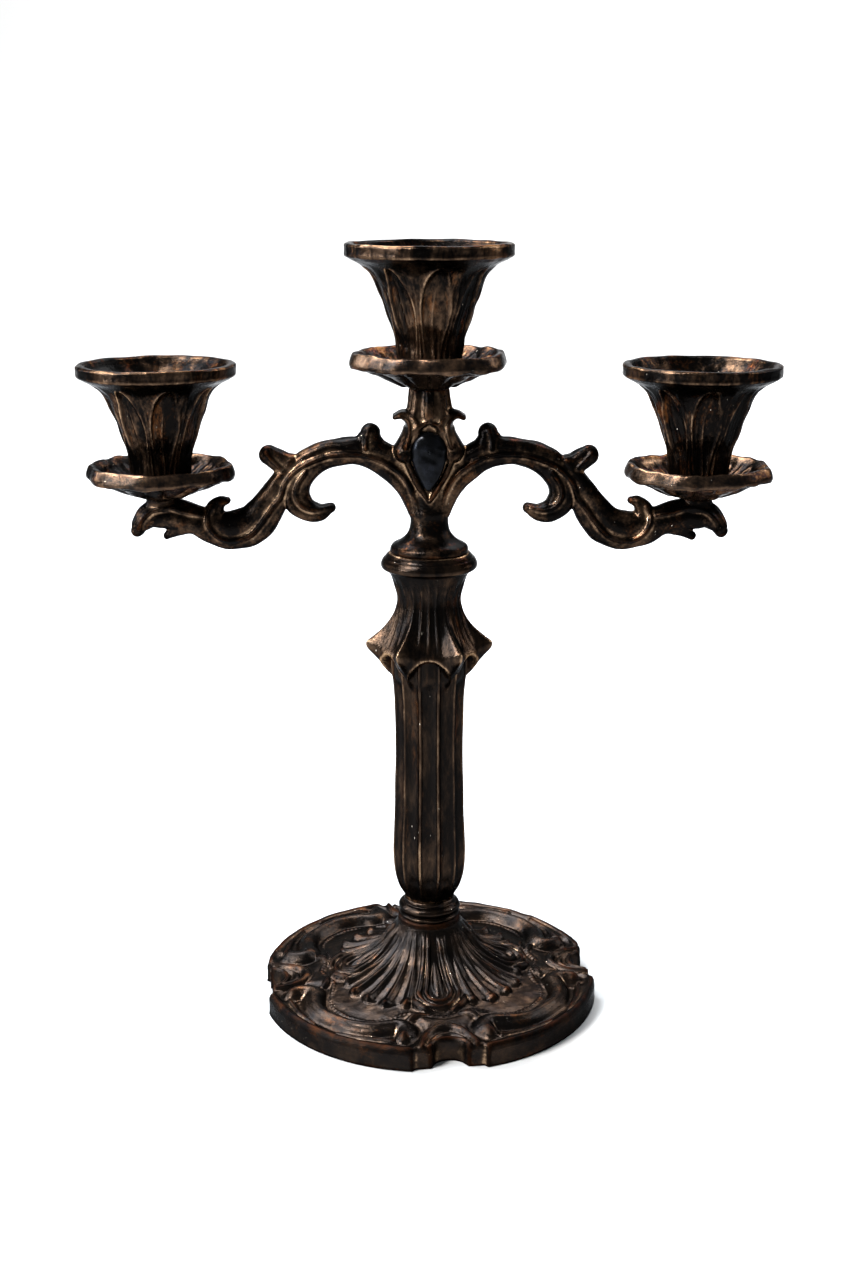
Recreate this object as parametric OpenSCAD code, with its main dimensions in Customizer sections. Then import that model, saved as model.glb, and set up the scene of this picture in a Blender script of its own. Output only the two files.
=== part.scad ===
// Tabletop candelabra: three candle cups on a scrolled branch, a fluted column and a lobed foot.
// Millimetres, +Z up. The origin is the centre of the foot's underside, on the table.
// The arms run along X, and the front faces -Y.

/* [Overall] */
// Distance from the column's axis to a side cup's axis
arm_reach = 115.2; // [113:0.2:118]
// Height of the faces that the side pans sit on
side_seat_z = 232.9; // [231:0.1:235]
// Height of the face that the centre pan sits on
centre_seat_z = 279.7; // [278:0.1:290]

/* [Foot] */
// Largest radius of the foot, across its lobes
foot_r = 77; // [74:0.5:84]
// Height of the foot, up to the collar
foot_h = 38.6; // [36:0.2:44]
// Turn of the foot's notches away from the arms
foot_turn = 7; // [0:1:15]
// Radius of the bite in each of the four notches
notch_r = 8; // [6:0.5:9]

/* [Column] */
// Height at which the column starts
column_z0 = 47.6; // [46:0.2:50]
// Height at which the column ends and the branch's foot begins
column_z1 = 209; // [208:0.5:212]
// Number of flutes round the shaft
flutes = 12; // [8:2:16]
// Number of pointed petals round the calyx
petals = 6; // [4:1:8]

/* [Branch] */
// Depth of the arms from front to back
arm_depth = 13; // [10:0.5:16]
// Depth of the hub from front to back
hub_depth = 17; // [16:0.5:22]

/* [Cups and pans] */
// Radius of the side cups' rims
cup_rim_r = 34; // [32:0.5:38]
// Height of the side cups, from the pan's floor to the rim
cup_h = 53.5; // [50:0.5:60]
// How much larger the centre cup and pan are than the side ones
centre_factor = 1.055; // [1:0.005:1.1]
// Radius of the candle socket, for a 22 mm dinner candle
socket_r = 11.25; // [10.5:0.05:11.5]
// Depth of the candle socket's straight wall
socket_depth = 20; // [15:1:22]
// Radius of the side drip pans
pan_r = 33; // [30:0.5:36]
// Height of the side drip pans
pan_h = 15.2; // [13:0.2:17]

/* [Fasteners] */
// Radius of the tie rod
rod_r = 3; // [2.5:0.5:4]
// Radius of the cup screws' shanks
screw_r = 2.5; // [2:0.5:3]
// Radial clearance round a screw or rod that a piece turns on
fit_gap = 0.08; // [0.03:0.01:0.1]

/* [Hidden] */

$fn = 96;
iron = "#2b211b";
iron_dark = "#1d1a1a";
steel = "#8d8f92";
enamel = "#14181f";

mate_gap = 0.1;         // slip between faces of pieces that turn on each other
rod_clear = 0.4;        // loose hole round the tie rod in the castings it clamps
foot_boss_z = 9.4;      // underside of the boss that the rod's nut pulls on
rod_washer_h = 1.2;
rod_lock_h = 1.4;
rod_nut_h = 4.6;
rod_z0 = 1;
rod_z1 = 226;
hub_bore_z1 = 229;

pan_floor = 3.8;        // thickness of a pan's floor
cup_floor = 4.5;        // thickness of a cup's floor
recess_r = 8;           // well for the screw's head, under the candle
recess_h = 5.2;
washer_h = 1;
head_h = 3.2;
head_r = 4.4;
tap_depth = 10;

// [side sign along X, seat height, size factor] of each light
left = [-1, side_seat_z, 1];
centre = [0, centre_seat_z, centre_factor];
right = [1, side_seat_z, 1];

// A point on a smooth curve through p1 and p2, with p0 and p3 as its neighbours
function catmull(p0, p1, p2, p3, t) =
    0.5 * (2 * p1 + (p2 - p0) * t + (2 * p0 - 5 * p1 + 4 * p2 - p3) * t * t
        + (3 * p1 - p0 - 3 * p2 + p3) * t * t * t);

// A list of [x, z, half width] made smooth, with `steps` points from one to the next
function smooth(pts, steps = 4) = let (n = len(pts) - 1) [
    for (i = [0:n - 1]) for (s = [0:steps - 1])
        catmull(pts[max(i - 1, 0)], pts[i], pts[i + 1], pts[min(i + 2, n)], s / steps),
    pts[n]
];

// The unit normal of a spine at point i
function spine_normal(s, i) = let (
    a = s[max(i - 1, 0)], b = s[min(i + 1, len(s) - 1)],
    d = [b[0] - a[0], b[1] - a[1]]
) [-d[1], d[0]] / norm(d);

// One edge of a band, `side` times its half width away from the spine
function band_edge(s, side) = [
    for (i = [0:len(s) - 1]) [s[i][0], s[i][1]] + spine_normal(s, i) * s[i][2] * side
];

function reversed(list) = [for (i = [len(list) - 1:-1:0]) list[i]];

// Spines of the right arm's bands, each point [x, z, half width]
arch = [[6, 228, 3.5], [9.5, 238, 5.2], [15.5, 246.6, 7], [24, 251.8, 6.7], [33, 253, 5.9],
    [43, 251.6, 6], [51.5, 247.4, 6.6], [56.8, 240.6, 6.6], [57.4, 233.6, 6.3],
    [53.4, 228, 5.3], [47.4, 226.4, 3.7], [42, 228.4, 1.9]];
s_arm = [[56.6, 245.4, 3.6], [62.5, 240, 5.8], [68.4, 230.4, 7.2], [75.4, 221.4, 8.4],
    [84, 218.6, 8.4], [92.6, 219.6, 7.4], [100, 222.8, 6.4], [107.6, 225.2, 7], [115, 226, 6.4],
    [120.6, 225.2, 5], [124.6, 221.8, 3.4], [126.6, 218.8, 1.5]];
tongue = [[104, 221.5, 4], [109, 219.3, 3], [113.2, 215.8, 1.3]];
shoulder_leaf = [[58.4, 245, 4.4], [65.2, 249, 4.6], [69.6, 251.6, 2.8]];
arm_bud = [[92, 224, 4], [89.6, 228.4, 3.4], [87.4, 231.2, 2]];
arch_bud = [[25.4, 255, 5], [25, 259.4, 4], [24.2, 262, 2.2]];
hub_horn = [[9.4, 252, 4.6], [7.8, 259.4, 3.2], [8.4, 265.6, 3], [11.4, 268.2, 2], [14.4, 267.4, 1]];

cabochon_r = 8.1;
cabochon_z = 254.4;
cabochon_tip_z = 236.4;
cabochon_rise = 3.6;

module band(spine) {
    s = smooth(spine);
    polygon(concat(band_edge(s, 1), reversed(band_edge(s, -1))));
    for (p = [s[0], s[len(s) - 1]])
        translate([p[0], p[1]])
            circle(p[2]);
}

// A 2D shape drawn in X and Z, extruded `depth` front to back about the XZ plane
module upright(depth) {
    rotate([90, 0, 0])
        linear_extrude(depth, center = true)
            children();
}

module ring(inner_r, outer_r, z0, z1) {
    translate([0, 0, z0])
        difference() {
            cylinder(r = outer_r, h = z1 - z0);
            translate([0, 0, -1])
                cylinder(r = inner_r, h = z1 - z0 + 2);
        }
}

// Puts a piece drawn on its own axis, from z = 0 up, on a light's seat
module on_seat(light, lift = 0) {
    translate([light[0] * arm_reach, 0, light[1] + lift])
        children();
}

module at_notches() {
    for (i = [0:3])
        rotate(foot_turn + 90 * i)
            translate([foot_r - 1.5, 0, 0])
                children();
}

module base() {
    shoulder = foot_h / 38.6;
    color(iron)
        difference() {
            rotate_extrude()
                polygon([
                    [0, 0], [foot_r, 0], [foot_r, 9], [foot_r - 1.6, 10], [foot_r - 3.6, 9.4],
                    [foot_r - 5, 12.6], [foot_r - 7.5, 13.6], [foot_r - 10, 12.6], [64, 10.4],
                    [60, 10.4], [58.4, 12], [52, 12], [44, 13.4], [36, 15.4], [29, 18.2],
                    [23, 22.4 * shoulder], [19, 27 * shoulder], [16.4, 32 * shoulder],
                    [14.8, 36 * shoulder], [14.4, foot_h], [0, foot_h]
                ]);
            // hollow underside, with its wall following the notches
            difference() {
                rotate_extrude()
                    polygon([
                        [0, -1], [foot_r - 4.5, -1], [foot_r - 4.5, 5], [58, 7], [45, 8.8],
                        [36, 10.8], [28, 13.8], [21, 18.4], [16, 24], [12, 25.6],
                        [12, foot_boss_z], [0, foot_boss_z]
                    ]);
                at_notches()
                    translate([0, 0, -2])
                        cylinder(r = notch_r + 4, h = 12);
            }
            at_notches() {
                translate([0, 0, -1])
                    cylinder(r = notch_r, h = 20);
                translate([-1.9, -15.5, -1])
                    cube([5, 31, 20]);
            }
            cylinder(r = rod_r + rod_clear, h = foot_h + 1);
        }
}

module base_collar() {
    bead_r = 2.7;
    color(iron)
        rotate_extrude()
            difference() {
                union() {
                    translate([0, foot_h])
                        square([11.4, column_z0 - foot_h]);
                    translate([0, foot_h])
                        square([12.9, 2]);
                    translate([11.2, foot_h + 4.4])
                        circle(bead_r);
                    translate([10.8, column_z0 - 1.2])
                        circle(1.2);
                }
                translate([0, foot_h - 1])
                    square([rod_r + rod_clear, column_z0 - foot_h + 2]);
            }
}

module column() {
    color(iron)
        difference() {
            rotate_extrude()
                polygon([
                    [0, column_z0], [10.8, column_z0], [12.6, 51.8], [14, 54.7], [15, 58],
                    [16, 64.6], [16.3, 72], [15.5, 94], [15, 113], [15.2, 141], [15.6, 146],
                    [17.3, 152.5], [20.6, 158], [25.1, 163.5], [27.7, 166.3], [27.5, 169],
                    [23.6, 171.8], [19.8, 174.5], [16, 179], [14.2, 183], [13.5, 188.5],
                    [14.2, 193], [16.3, 198], [18.3, 199.8], [20.4, 202], [21.1, 204.2],
                    [20.6, 206.4], [19, 208.2], [17.6, column_z1], [0, column_z1]
                ]);
            for (i = [0:flutes - 1])
                rotate(360 / flutes * (i + 0.5))
                    translate([18.4, 0, 56])
                        cylinder(r = 3.6, h = 92);
            for (i = [0:petals - 1])
                rotate(360 / petals * i)
                    translate([32.5, 0, 140])
                        cylinder(r = 9, h = 33);
            translate([0, 0, column_z0 - 1])
                cylinder(r = rod_r + rod_clear, h = column_z1 - column_z0 + 2);
        }
}

module arm() {
    upright(arm_depth)
        for (spine = [arch, s_arm, tongue, shoulder_leaf, arm_bud])
            band(spine);
    upright(arm_depth - 3)
        for (spine = [arch_bud, hub_horn])
            band(spine);
    translate([arm_reach, 0, side_seat_z - 6])
        cylinder(r = 7, h = 6);
}

// Hole for a cup screw, down from a light's seat
module screw_hole(light) {
    on_seat(light, -tap_depth - 1)
        cylinder(r = screw_r + 0.05, h = tap_depth + 2);
}

module branch() {
    foot_z = column_z1 + mate_gap;
    color(iron)
        difference() {
            union() {
                rotate_extrude()
                    polygon([
                        [0, foot_z], [16.9, foot_z], [17, 211], [16.4, 212.6], [13.4, 214.2],
                        [10.6, 216.2], [8.8, 219], [8.2, 223], [8.2, 228], [8.8, 236],
                        [9.6, 250], [9.4, 262], [8.9, 274], [8.45, centre_seat_z],
                        [0, centre_seat_z]
                    ]);
                upright(hub_depth)
                    translate([0, 250])
                        circle(12.6);
                arm();
                mirror([1, 0, 0])
                    arm();
            }
            for (light = [left, centre, right])
                screw_hole(light);
            translate([0, 0, foot_z - 1])
                cylinder(r = rod_r + fit_gap, h = hub_bore_z1 - foot_z + 1);
            cabochon_seats();
        }
}

// Flats on the front and back of the hub, for the cabochons to sit on
module cabochon_seats() {
    height = cabochon_z + cabochon_r - cabochon_tip_z + 2;
    for (y = [hub_depth / 2, -hub_depth / 2 - 6])
        translate([-12, y, cabochon_tip_z - 1])
            cube([24, 6, height]);
}

// A domed teardrop, round above and pointed below, that rises from the plane y = 0
module cabochon() {
    dome_r = 44;
    lean = asin(cabochon_r / (cabochon_z - cabochon_tip_z));
    tangent = cabochon_r * [cos(lean), -sin(lean)];
    intersection() {
        upright(4 * cabochon_rise)
            union() {
                translate([0, cabochon_z])
                    circle(cabochon_r);
                polygon([[0, cabochon_z], [-tangent[0], cabochon_z + tangent[1]],
                    [0, cabochon_tip_z], [tangent[0], cabochon_z + tangent[1]]]);
            }
        translate([0, dome_r - cabochon_rise, cabochon_z - 3])
            sphere(dome_r, $fn = 240);
        translate([-20, -cabochon_rise - 1, cabochon_tip_z - 1])
            cube([40, cabochon_rise + 1, 40]);
    }
}

module front_cabochon() {
    color(enamel)
        translate([0, -hub_depth / 2, 0])
            cabochon();
}

module back_cabochon() {
    color(enamel)
        mirror([0, 1, 0])
            translate([0, -hub_depth / 2, 0])
                cabochon();
}

module tie_rod() {
    color(steel)
        translate([0, 0, rod_z0])
            cylinder(r = rod_r, h = rod_z1 - rod_z0);
}

module rod_washer() {
    color(steel)
        ring(rod_r + 0.2, 9, foot_boss_z - rod_washer_h, foot_boss_z);
}

module rod_lock_washer() {
    z1 = foot_boss_z - rod_washer_h;
    color(steel)
        difference() {
            ring(rod_r + 0.1, 5.4, z1 - rod_lock_h, z1);
            translate([0, -0.4, z1 - rod_lock_h - 1])
                cube([8, 0.8, rod_lock_h + 2]);
        }
}

module rod_nut() {
    z1 = foot_boss_z - rod_washer_h - rod_lock_h;
    color(steel)
        translate([0, 0, z1 - rod_nut_h])
            difference() {
                cylinder(r = 5.77, h = rod_nut_h, $fn = 6);
                translate([0, 0, -1])
                    cylinder(r = rod_r + 0.05, h = rod_nut_h + 2);
            }
}

module drip_pan(light) {
    k = light[2];
    r = pan_r * k;
    h = pan_h * k;
    color(iron)
        on_seat(light, mate_gap)
            rotate_extrude()
                polygon([
                    [screw_r + fit_gap, 0], [9.4, 0], [15, h * 0.16], [22, h * 0.36],
                    [r - 4, h * 0.56], [r - 1.4, h * 0.53], [r, h * 0.62], [r - 0.6, h * 0.84],
                    [r - 2, h], [r - 3.4, h * 0.98], [r - 5.6, h * 0.84], [24, h * 0.6],
                    [18, h * 0.36], [14.6, pan_floor], [screw_r + fit_gap, pan_floor]
                ]);
}

module candle_cup(light) {
    k = light[2];
    r = cup_rim_r * k;
    h = cup_h * k;
    socket_z0 = cup_floor + recess_h;
    socket_z1 = socket_z0 + socket_depth;
    wall = 2.6;
    color(iron)
        on_seat(light, pan_floor + 2 * mate_gap)
            rotate_extrude()
                polygon([
                    [screw_r + fit_gap, 0], [12.6, 0], [13, 4], [13.8, h * 0.29], [15.3, h * 0.4],
                    [17.1, h * 0.5], [18.8, h * 0.6], [20.8, h * 0.7], [22.6, h * 0.78],
                    [r * 0.76, h * 0.83], [r * 0.86, h * 0.87], [r - 1.4, h * 0.888], [r, h * 0.9],
                    [r, h - 1], [r - 0.8, h], [r - 3.2, h], [r - 4.2, h - 1.2],
                    [r * 0.8 - wall, h * 0.89], [22.6 - wall, h * 0.81], [19.4 - wall, h * 0.7],
                    [17.4 - wall, h * 0.63], [socket_r + 1, socket_z1 + 1.4],
                    [socket_r, socket_z1], [socket_r, socket_z0], [recess_r, socket_z0],
                    [recess_r, cup_floor], [screw_r + fit_gap, cup_floor]
                ]);
}

module cup_washer(light) {
    color(steel)
        on_seat(light, pan_floor + cup_floor + 3 * mate_gap)
            ring(screw_r + 0.1, 6, 0, washer_h);
}

module cup_screw(light) {
    head_z = pan_floor + cup_floor + 3 * mate_gap + washer_h;
    shank = head_z + tap_depth - 1;
    color(steel)
        on_seat(light, head_z)
            difference() {
                union() {
                    cylinder(r = head_r, h = head_h);
                    translate([0, 0, -shank])
                        cylinder(r = screw_r, h = shank + 1);
                }
                translate([-head_r - 1, -0.6, head_h - 1.5])
                    cube([2 * head_r + 2, 1.2, 3]);
            }
}

base();
base_collar();
column();
branch();
front_cabochon();
back_cabochon();
tie_rod();
rod_washer();
rod_lock_washer();
rod_nut();
drip_pan(left);  // left_drip_pan
candle_cup(left);  // left_candle_cup
cup_washer(left);  // left_cup_washer
cup_screw(left);  // left_cup_screw
drip_pan(centre);  // centre_drip_pan
candle_cup(centre);  // centre_candle_cup
cup_washer(centre);  // centre_cup_washer
cup_screw(centre);  // centre_cup_screw
drip_pan(right);  // right_drip_pan
candle_cup(right);  // right_candle_cup
cup_washer(right);  // right_cup_washer
cup_screw(right);  // right_cup_screw
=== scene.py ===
"""Looks of the cast three-light candelabra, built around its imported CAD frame.

Mesh code works in millimetres and objects are made in metres. Z is up and the front faces -Y.
"""

import math

import bpy
import numpy as np
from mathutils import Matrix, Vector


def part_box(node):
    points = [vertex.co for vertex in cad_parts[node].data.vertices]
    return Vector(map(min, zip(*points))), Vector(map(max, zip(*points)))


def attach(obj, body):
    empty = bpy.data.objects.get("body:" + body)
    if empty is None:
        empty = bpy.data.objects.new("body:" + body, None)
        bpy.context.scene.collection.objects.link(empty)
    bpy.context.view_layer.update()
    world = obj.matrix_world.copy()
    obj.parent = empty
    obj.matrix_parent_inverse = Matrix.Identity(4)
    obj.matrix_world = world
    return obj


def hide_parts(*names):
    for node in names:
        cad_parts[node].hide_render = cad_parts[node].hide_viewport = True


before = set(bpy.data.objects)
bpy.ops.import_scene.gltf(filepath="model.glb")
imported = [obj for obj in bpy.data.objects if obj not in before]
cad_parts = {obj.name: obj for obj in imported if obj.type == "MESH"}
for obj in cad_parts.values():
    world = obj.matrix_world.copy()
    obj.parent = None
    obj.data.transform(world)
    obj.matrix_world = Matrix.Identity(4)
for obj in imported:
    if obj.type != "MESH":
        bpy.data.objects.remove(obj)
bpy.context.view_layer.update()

MM = 0.001
TAU = 2 * math.pi

# sizes that several pieces share, in millimetres
ROD_HOLE_R = 3.5
SCREW_HOLE_R = 2.9
SEAT_X = 115.2   # from the stand's axis to a side seat's


# ---- numbers and curves


def mm_box(node):
    """A CAD node's box in millimetres, as (low, high)."""
    low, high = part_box(node)
    return np.array(low) / MM, np.array(high) / MM


def smoothstep(x, start, end):
    """0 below start, 1 above end and an S-shaped climb between."""
    t = np.clip((x - start) / (end - start), 0, 1)
    return t * t * (3 - 2 * t)


def bump(d, half_width):
    """A soft ridge, 1 on its line and 0 beyond about two half widths."""
    return np.exp(-((d / half_width) ** 2))


def dome(d, half_width):
    """A rounded ridge, 1 on its line and 0 at its edges."""
    return np.clip(1 - (d / half_width) ** 2, 0, 1)


def spline(points, steps=8):
    """A smooth curve through the points; extra columns, such as a half width, follow along."""
    p = np.array(points, float)
    ends = np.vstack([2 * p[0] - p[1], p, 2 * p[-1] - p[-2]])
    t = np.linspace(0, 1, steps, endpoint=False)[:, None]
    rows = []
    for a, b, c, d in zip(ends[:-3], ends[1:-2], ends[2:-1], ends[3:]):
        rows.append(0.5 * (2 * b + (c - a) * t + (2 * a - 5 * b + 4 * c - d) * t**2
                           + (3 * b - a - 3 * c + d) * t**3))
    return np.vstack(rows + [p[-1:]])


def profile(z, table):
    """Radius at height z, from a list of (height, radius) points, smoothed."""
    curve = spline(table, 10)
    return np.interp(z, curve[:, 0], curve[:, 1])


def beside(curve, x, y):
    """For each point (x, y): distance from the curve, side (-1 or 1), half width and arc length."""
    shape = x.shape
    q = np.stack([x.ravel(), y.ravel()], 1)
    best = np.full(len(q), 1e9)
    side = np.zeros(len(q))
    width = np.zeros(len(q))
    along = np.zeros(len(q))
    start = 0.0
    for a, b in zip(curve[:-1], curve[1:]):
        ab = b[:2] - a[:2]
        length = np.hypot(*ab) + 1e-9
        t = np.clip(((q - a[:2]) @ ab) / length**2, 0, 1)
        off = q - a[:2] - t[:, None] * ab
        d = np.hypot(off[:, 0], off[:, 1])
        near = d < best
        best[near] = d[near]
        side[near] = np.sign(ab[0] * off[near, 1] - ab[1] * off[near, 0])
        width[near] = (a[2] + (b[2] - a[2]) * t)[near]
        along[near] = (start + t * length)[near]
        start += length
    return best.reshape(shape), side.reshape(shape), width.reshape(shape), along.reshape(shape)


def lumps(points, size, seed, waves=14):
    """Smooth noise of about -1 to 1 over 3-D points, with features of the given size."""
    rng = np.random.default_rng(seed)
    directions = rng.normal(size=(waves, 3))
    directions /= np.linalg.norm(directions, axis=1)[:, None]
    directions *= TAU / size * rng.uniform(0.6, 1.4, (waves, 1))
    phases = rng.uniform(0, TAU, waves)
    total = np.zeros(points.shape[:-1])
    for direction, phase in zip(directions, phases):
        total += np.sin(points @ direction + phase)
    return total / math.sqrt(waves)


# ---- meshes


def vertex_normals(points, quads):
    """Unit normals at the points, from the faces round each, larger faces counting for more."""
    d1 = points[quads[:, 2]] - points[quads[:, 0]]
    d2 = points[quads[:, 3]] - points[quads[:, 1]]
    face = np.cross(d1, d2)
    total = np.zeros_like(points)
    for k in range(3):
        for corner in range(4):
            total[:, k] += np.bincount(quads[:, corner], face[:, k], len(points))
    return total / (np.linalg.norm(total, axis=1)[:, None] + 1e-12)


def relaxed(points, quads, rounds):
    """The points after each has moved to the middle of its neighbours a few times."""
    ends = np.vstack([quads[:, [0, 1]], quads[:, [1, 2]], quads[:, [2, 3]], quads[:, [3, 0]]])
    count = np.bincount(ends.ravel(), minlength=len(points))[:, None]
    out = points.copy()
    for _ in range(rounds):
        total = np.zeros_like(out)
        for k in range(3):
            total[:, k] = np.bincount(ends[:, 0], out[ends[:, 1], k], len(out))
            total[:, k] += np.bincount(ends[:, 1], out[ends[:, 0], k], len(out))
        out = 0.5 * out + 0.5 * total / count
    return out


def make_piece(name, points, quads, body, slot, material, replaced=(), edge=0.10, rounds=10,
               wear=1.0):
    """A mesh object from points in millimetres, with how far each point stands out or lies deep.

    The attribute "stand" is near 1 on worn edges and "deep" near 1 in recesses; `edge` is the
    height in millimetres that counts as a full edge, and `wear` a factor on "stand".
    """
    proud = np.einsum("ij,ij->i", points - relaxed(points, quads, rounds),
                      vertex_normals(points, quads)) / edge
    mesh = bpy.data.meshes.new(name)
    mesh.vertices.add(len(points))
    mesh.vertices.foreach_set("co", (points * MM).astype(np.float32).ravel())
    mesh.loops.add(quads.size)
    mesh.loops.foreach_set("vertex_index", quads.astype(np.int32).ravel())
    mesh.polygons.add(len(quads))
    mesh.polygons.foreach_set("loop_start", np.arange(0, quads.size, 4, dtype=np.int32))
    mesh.polygons.foreach_set("use_smooth", np.ones(len(quads), bool))
    mesh.update(calc_edges=True)
    mesh.validate()
    for label, values in (("stand", proud * wear), ("deep", -proud)):
        layer = mesh.attributes.new(label, "FLOAT", "POINT")
        layer.data.foreach_set("value", np.clip(values, 0, 1.5).astype(np.float32))
    piece = bpy.data.objects.new(name, mesh)
    bpy.context.scene.collection.objects.link(piece)
    mesh.materials.append(material)
    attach(piece, body)
    if replaced:
        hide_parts(*replaced)


def ring_grid(points):
    """Points of shape (rows, around, 3), closed both ways, as a list of points and quads."""
    rows, around = points.shape[:2]
    index = np.arange(rows * around).reshape(rows, around)
    down = np.roll(index, -1, 0)
    quads = np.stack([index, np.roll(index, -1, 1), np.roll(down, -1, 1), down], -1)
    return points.reshape(-1, 3), quads.reshape(-1, 4)


def angles(count):
    """Evenly spaced angles round a full turn."""
    return np.linspace(0, TAU, count, endpoint=False)


def turned(radius, height, angle):
    """Points at the given radius, height and angle; arrays of one shape, or that broadcast."""
    radius, height, angle = np.broadcast_arrays(radius, height, angle)
    return np.stack([radius * np.cos(angle), radius * np.sin(angle), height], -1)


def section(points, rows, ease=1.0):
    """Rows of (radius, height) along a smooth line through the points, without its last point."""
    curve = spline(points, 16)
    length = np.concatenate([[0], np.cumsum(np.hypot(*np.diff(curve, axis=0).T))])
    at = np.linspace(0, 1, rows, endpoint=False) ** ease * length[-1]
    return np.stack([np.interp(at, length, curve[:, 0]), np.interp(at, length, curve[:, 1])], 1)


def surface_nets(field, low, step):
    """Quads round the region where the field is negative, one point in each cell it crosses."""
    cells = tuple(n - 1 for n in field.shape)
    total = np.zeros(cells + (3,))
    count = np.zeros(cells)
    crossings = []
    for axis in range(3):
        a = field[tuple(slice(0, -1) if k == axis else slice(None) for k in range(3))]
        b = field[tuple(slice(1, None) if k == axis else slice(None) for k in range(3))]
        hit = np.argwhere((a < 0) != (b < 0))
        fa, fb = a[tuple(hit.T)], b[tuple(hit.T)]
        place = hit.astype(float)
        place[:, axis] += fa / (fa - fb)
        u, v = (axis + 1) % 3, (axis + 2) % 3
        inner = (hit[:, u] > 0) & (hit[:, v] > 0) & (hit[:, u] < cells[u]) & (hit[:, v] < cells[v])
        hit, place, flip = hit[inner], place[inner], (fa < 0)[inner]
        corners = []
        for du, dv in ((0, 0), (1, 0), (1, 1), (0, 1)):
            cell = hit.copy()
            cell[:, u] -= du
            cell[:, v] -= dv
            flat = np.ravel_multi_index(tuple(cell.T), cells)
            count.ravel()[:] += np.bincount(flat, minlength=count.size)
            for k in range(3):
                total.reshape(-1, 3)[:, k] += np.bincount(flat, place[:, k], count.size)
            corners.append(flat)
        quads = np.stack(corners, 1)
        quads[~flip] = quads[~flip][:, ::-1]
        crossings.append(quads)
    used = np.flatnonzero(count.ravel())
    number = np.full(count.size, -1)
    number[used] = np.arange(len(used))
    points = total.reshape(-1, 3)[used] / count.ravel()[used, None]
    quads = number[np.vstack(crossings)]
    return low + points * step, quads[:, ::-1]


# ---- materials


def new_material(name):
    """A material, its node tree and its shader."""
    material = bpy.data.materials.new(name)
    material.use_nodes = True
    tree = material.node_tree
    return material, tree, tree.nodes["Principled BSDF"]


def noise_node(tree, coords, scale, detail=4.0, roughness=0.6):
    """Noise between 0 and 1; the scale is in features per metre."""
    node = tree.nodes.new("ShaderNodeTexNoise")
    node.inputs["Scale"].default_value = scale
    node.inputs["Detail"].default_value = detail
    node.inputs["Roughness"].default_value = roughness
    tree.links.new(coords, node.inputs["Vector"])
    return node.outputs["Fac"]


def math_node(tree, operation, a, b):
    """The result of a maths node on two values, each a number or a socket."""
    node = tree.nodes.new("ShaderNodeMath")
    node.operation = operation
    for socket, value in zip(node.inputs, (a, b)):
        if isinstance(value, (int, float)):
            socket.default_value = value
        else:
            tree.links.new(value, socket)
    return node.outputs[0]


def ramp_node(tree, value, start, end):
    """0 below start, 1 above end, smooth between."""
    node = tree.nodes.new("ShaderNodeMapRange")
    node.interpolation_type = "SMOOTHSTEP"
    node.inputs["From Min"].default_value = start
    node.inputs["From Max"].default_value = end
    tree.links.new(value, node.inputs["Value"])
    return node.outputs["Result"]


def mix_colour(tree, factor, a, b):
    """Colour a where the factor is 0 and b where it is 1; each is an RGB tuple or a socket."""
    node = tree.nodes.new("ShaderNodeMix")
    node.data_type = "RGBA"
    tree.links.new(factor, node.inputs["Factor"])
    for socket, value in ((node.inputs["A"], a), (node.inputs["B"], b)):
        if isinstance(value, tuple):
            socket.default_value = (*value, 1)
        else:
            tree.links.new(value, socket)
    return node.outputs["Result"]


def attribute_node(tree, label):
    """The value of a mesh attribute."""
    node = tree.nodes.new("ShaderNodeAttribute")
    node.attribute_name = label
    return node.outputs["Fac"]


def bump_node(tree, height, distance, strength, shader):
    """Roughens the shader's surface; the distance is in metres."""
    node = tree.nodes.new("ShaderNodeBump")
    node.inputs["Distance"].default_value = distance
    node.inputs["Strength"].default_value = strength
    tree.links.new(height, node.inputs["Height"])
    tree.links.new(node.outputs["Normal"], shader.inputs["Normal"])


# noise scales of the patina, in features per metre
PATCHES = 42
BLOTCHES = 170
RUST_SPOTS = 115
GRAIN = 950
SPECKS = 1150
# its colours
BLACK_BROWN = (0.0040, 0.0033, 0.0030)
BROWN = (0.079, 0.0465, 0.0280)
RUST = (0.22, 0.078, 0.021)
TAN = (0.34, 0.222, 0.135)
PALE = (0.62, 0.54, 0.44)
PAINTED_RECESS_SHADE = (0.28, 0.24, 0.22, 1)   # painted shade: multiplies the colour in recesses to darken them as if shaded
GRAZING = (0.22, 0.225, 0.235, 1)   # tint of reflections at a grazing angle


def spread(tree, value, gain):
    """Noise moved to be about 0 in the middle and stretched by the gain."""
    centred = math_node(tree, "SUBTRACT", value, 0.5)
    return math_node(tree, "MULTIPLY", centred, gain)


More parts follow.
